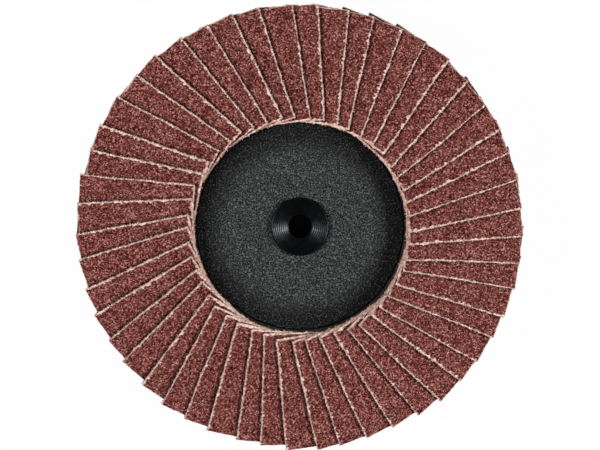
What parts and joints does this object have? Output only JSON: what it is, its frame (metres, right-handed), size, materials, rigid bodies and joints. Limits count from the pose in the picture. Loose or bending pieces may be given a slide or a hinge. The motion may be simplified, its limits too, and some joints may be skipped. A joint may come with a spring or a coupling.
{
  "type": "flap disc",
  "caption": "Round abrasive disc of overlapping sloped cloth flaps bonded round a dished backing plate, with a moulded centre hub and a threaded quick-change stub behind.",
  "frame": {"origin": "on the disc's axis, in the rear face of the hub's flange, where the pilot leaves it", "axes": "+Z along the disc's axis towards the abrasive side, +Y towards the first flap, +X to the right seen from the front"},
  "size_m": [0.0755, 0.0754, 0.0166],
  "materials": {
    "abrasive_cloth": "brown aluminium-oxide grain bonded to woven cotton cloth, matt and gritty",
    "plate": "dark fibre-reinforced resin, finely textured",
    "resin": "cured resin, uneven and half glossy",
    "hub": "moulded black plastic, satin"
  },
  "bodies": {
    "root": {"flap_01": "abrasive_cloth", "flap_02": "abrasive_cloth", "flap_03": "abrasive_cloth", "flap_04": "abrasive_cloth", "flap_05": "abrasive_cloth", "flap_06": "abrasive_cloth", "flap_07": "abrasive_cloth", "flap_08": "abrasive_cloth", "flap_09": "abrasive_cloth", "flap_10": "abrasive_cloth", "flap_11": "abrasive_cloth", "flap_12": "abrasive_cloth", "flap_13": "abrasive_cloth", "flap_14": "abrasive_cloth", "flap_15": "abrasive_cloth", "flap_16": "abrasive_cloth", "flap_17": "abrasive_cloth", "flap_18": "abrasive_cloth", "flap_19": "abrasive_cloth", "flap_20": "abrasive_cloth", "flap_21": "abrasive_cloth", "flap_22": "abrasive_cloth", "flap_23": "abrasive_cloth", "flap_24": "abrasive_cloth", "flap_25": "abrasive_cloth", "flap_26": "abrasive_cloth", "flap_27": "abrasive_cloth", "flap_28": "abrasive_cloth", "flap_29": "abrasive_cloth", "flap_30": "abrasive_cloth", "flap_31": "abrasive_cloth", "flap_32": "abrasive_cloth", "flap_33": "abrasive_cloth", "flap_34": "abrasive_cloth", "flap_35": "abrasive_cloth", "flap_36": "abrasive_cloth", "flap_37": "abrasive_cloth", "flap_38": "abrasive_cloth", "flap_39": "abrasive_cloth", "flap_40": "abrasive_cloth", "flap_41": "abrasive_cloth", "flap_42": "abrasive_cloth", "flap_43": "abrasive_cloth", "flap_44": "abrasive_cloth", "flap_45": "abrasive_cloth", "flap_46": "abrasive_cloth", "flap_47": "abrasive_cloth", "flap_48": "abrasive_cloth", "flap_49": "abrasive_cloth", "flap_50": "abrasive_cloth", "backing_plate": "plate", "adhesive_ring": "resin", "hub": "hub"}
  },
  "joints": []
}
